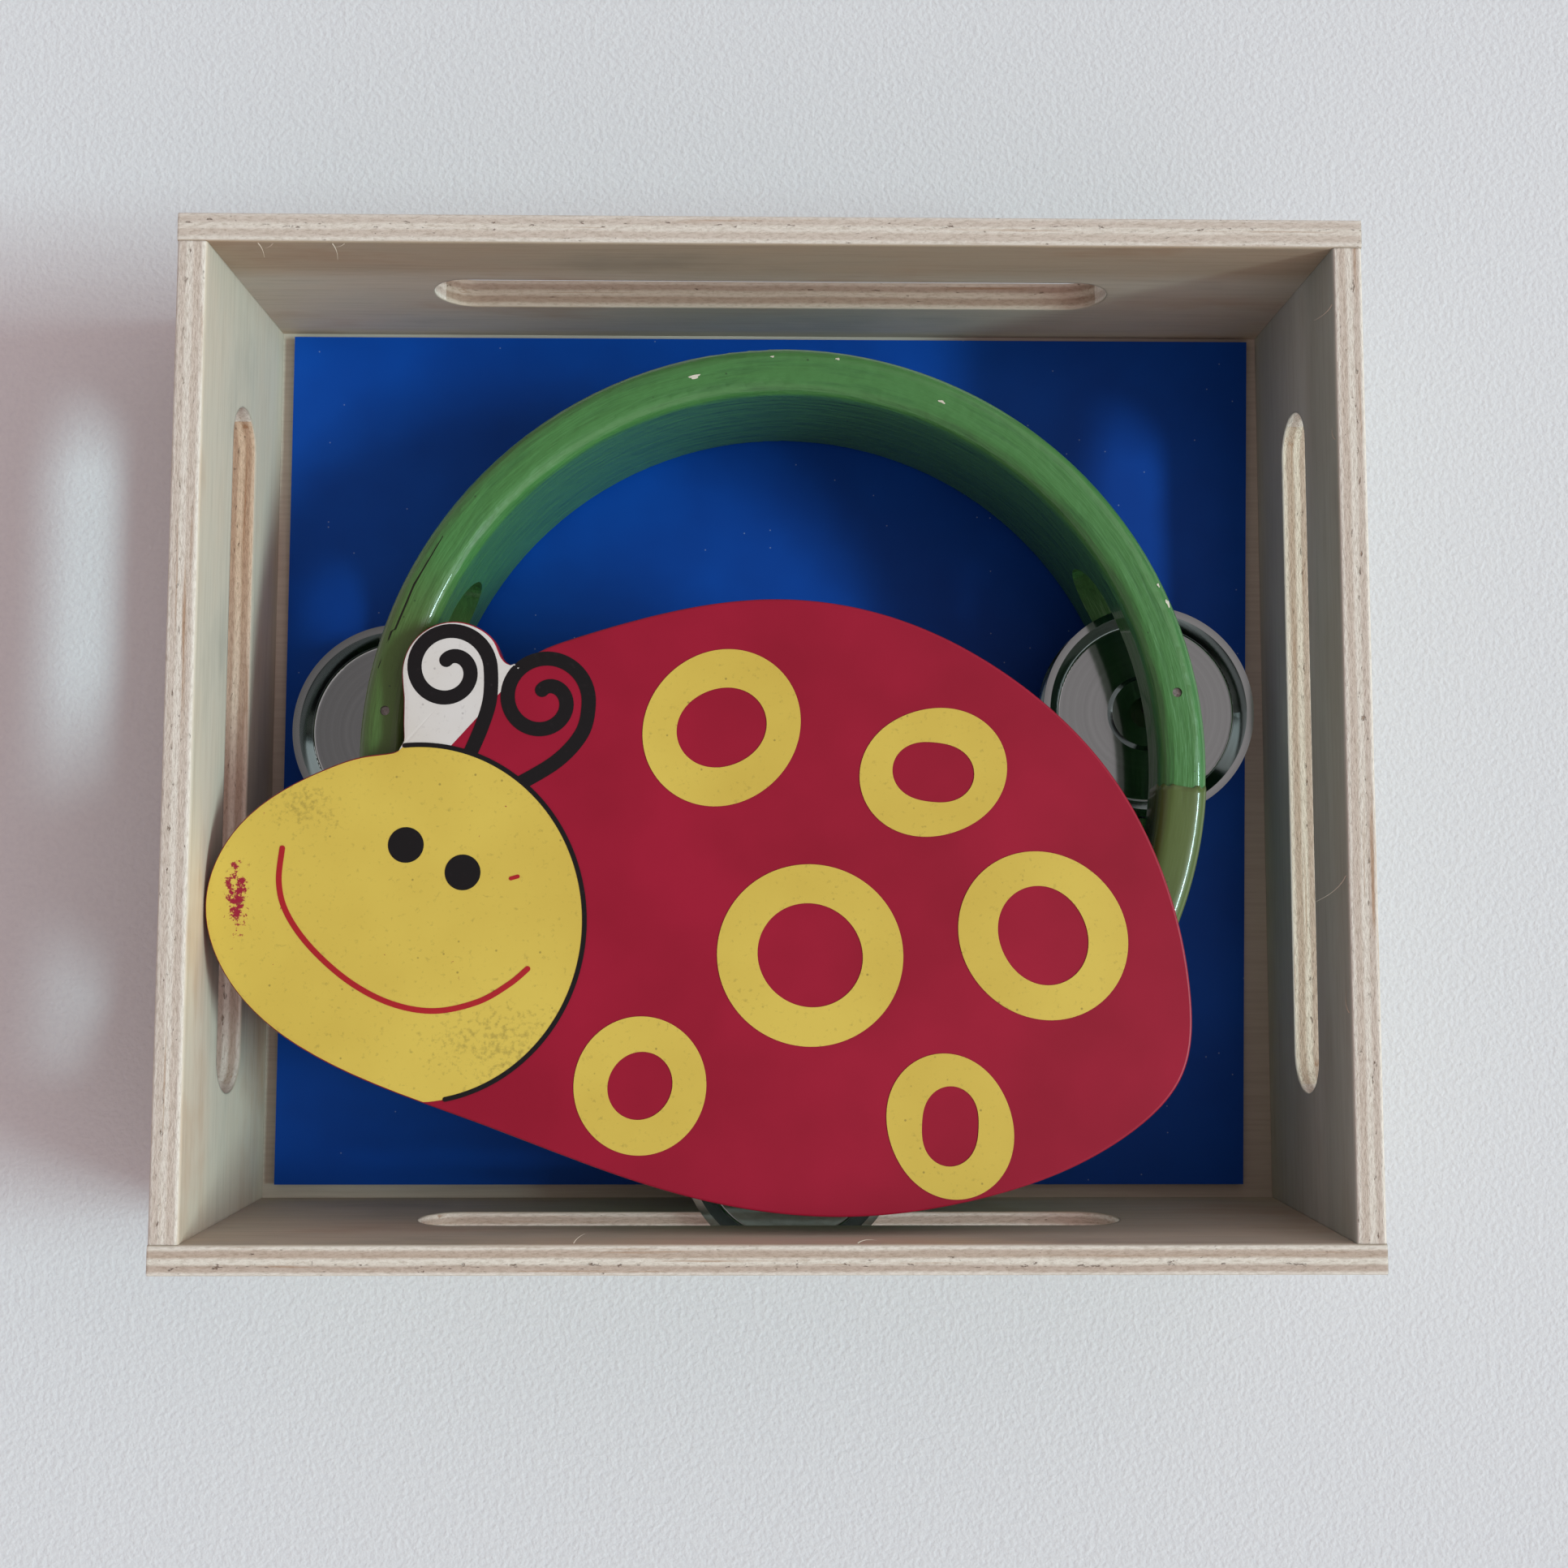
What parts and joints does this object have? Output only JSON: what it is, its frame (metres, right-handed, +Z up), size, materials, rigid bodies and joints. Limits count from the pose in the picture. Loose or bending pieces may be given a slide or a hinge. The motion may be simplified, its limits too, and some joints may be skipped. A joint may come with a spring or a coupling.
{
  "type": "toy tambourine in a wooden tray",
  "caption": "Toy tambourine with a painted ladybird plate and pressed steel jingles, lying in an open slotted plywood tray with a painted floor board.",
  "frame": {"origin": "on the bench, under the middle of the tray's outside", "axes": "+X along the tray from the ladybird's nose to its rump, +Y from the belly side to the open side of the hoop, +Z up"},
  "size_m": [0.24, 0.2136, 0.06],
  "materials": {
    "plywood": "bare sanded poplar plywood",
    "blue_painted_wood": "satin blue paint",
    "green_painted_wood": "gloss green paint",
    "red_painted_wood": "gloss red paint with yellow and black print",
    "nail_steel": "bright wire",
    "jingle_steel": "polished plated steel"
  },
  "bodies": {
    "tray": {"front_wall": "plywood", "back_wall": "plywood", "left_wall": "plywood", "right_wall": "plywood", "bottom_panel": "plywood", "floor_board": "blue_painted_wood", "corner_nails": "nail_steel"},
    "tambourine": {"hoop": "green_painted_wood", "ladybird_plate": "red_painted_wood", "right_jingle_pin": "nail_steel", "left_jingle_pin": "nail_steel", "front_jingle_pin": "nail_steel"},
    "right_lower": {"right_lower_jingle": "jingle_steel"},
    "right_upper": {"right_upper_jingle": "jingle_steel"},
    "left_lower": {"left_lower_jingle": "jingle_steel"},
    "left_upper": {"left_upper_jingle": "jingle_steel"},
    "front_lower": {"front_lower_jingle": "jingle_steel"},
    "front_upper": {"front_upper_jingle": "jingle_steel"}
  },
  "joints": [
    {"name": "tip_out", "type": "hinge", "parent": "tray", "child": "tambourine", "pos_m": [0, -0.1085, 0.052], "axis": [1, 0, 0], "range_deg": [0, 110]},
    {"name": "right_lower_spin", "type": "hinge", "parent": "tambourine", "child": "right_lower", "pos_m": [0.08247, 0.00851, 0.02095], "axis": [0, 0, 1], "continuous": true},
    {"name": "right_upper_rattle", "type": "slide", "parent": "tambourine", "child": "right_upper", "axis": [0, 0, 1], "range_m": [0, 0.0075]},
    {"name": "left_lower_spin", "type": "hinge", "parent": "tambourine", "child": "left_lower", "pos_m": [-0.08045, 0.00397, 0.02095], "axis": [0, 0, 1], "continuous": true},
    {"name": "left_upper_rattle", "type": "slide", "parent": "tambourine", "child": "left_upper", "axis": [0, 0, 1], "range_m": [0, 0.0075]},
    {"name": "front_lower_spin", "type": "hinge", "parent": "tambourine", "child": "front_lower", "pos_m": [0.00449, -0.08505, 0.0264], "axis": [0, 0, 1], "continuous": true},
    {"name": "front_upper_rattle", "type": "slide", "parent": "tambourine", "child": "front_upper", "axis": [0, 0, 1], "range_m": [0, 0.003]}
  ]
}
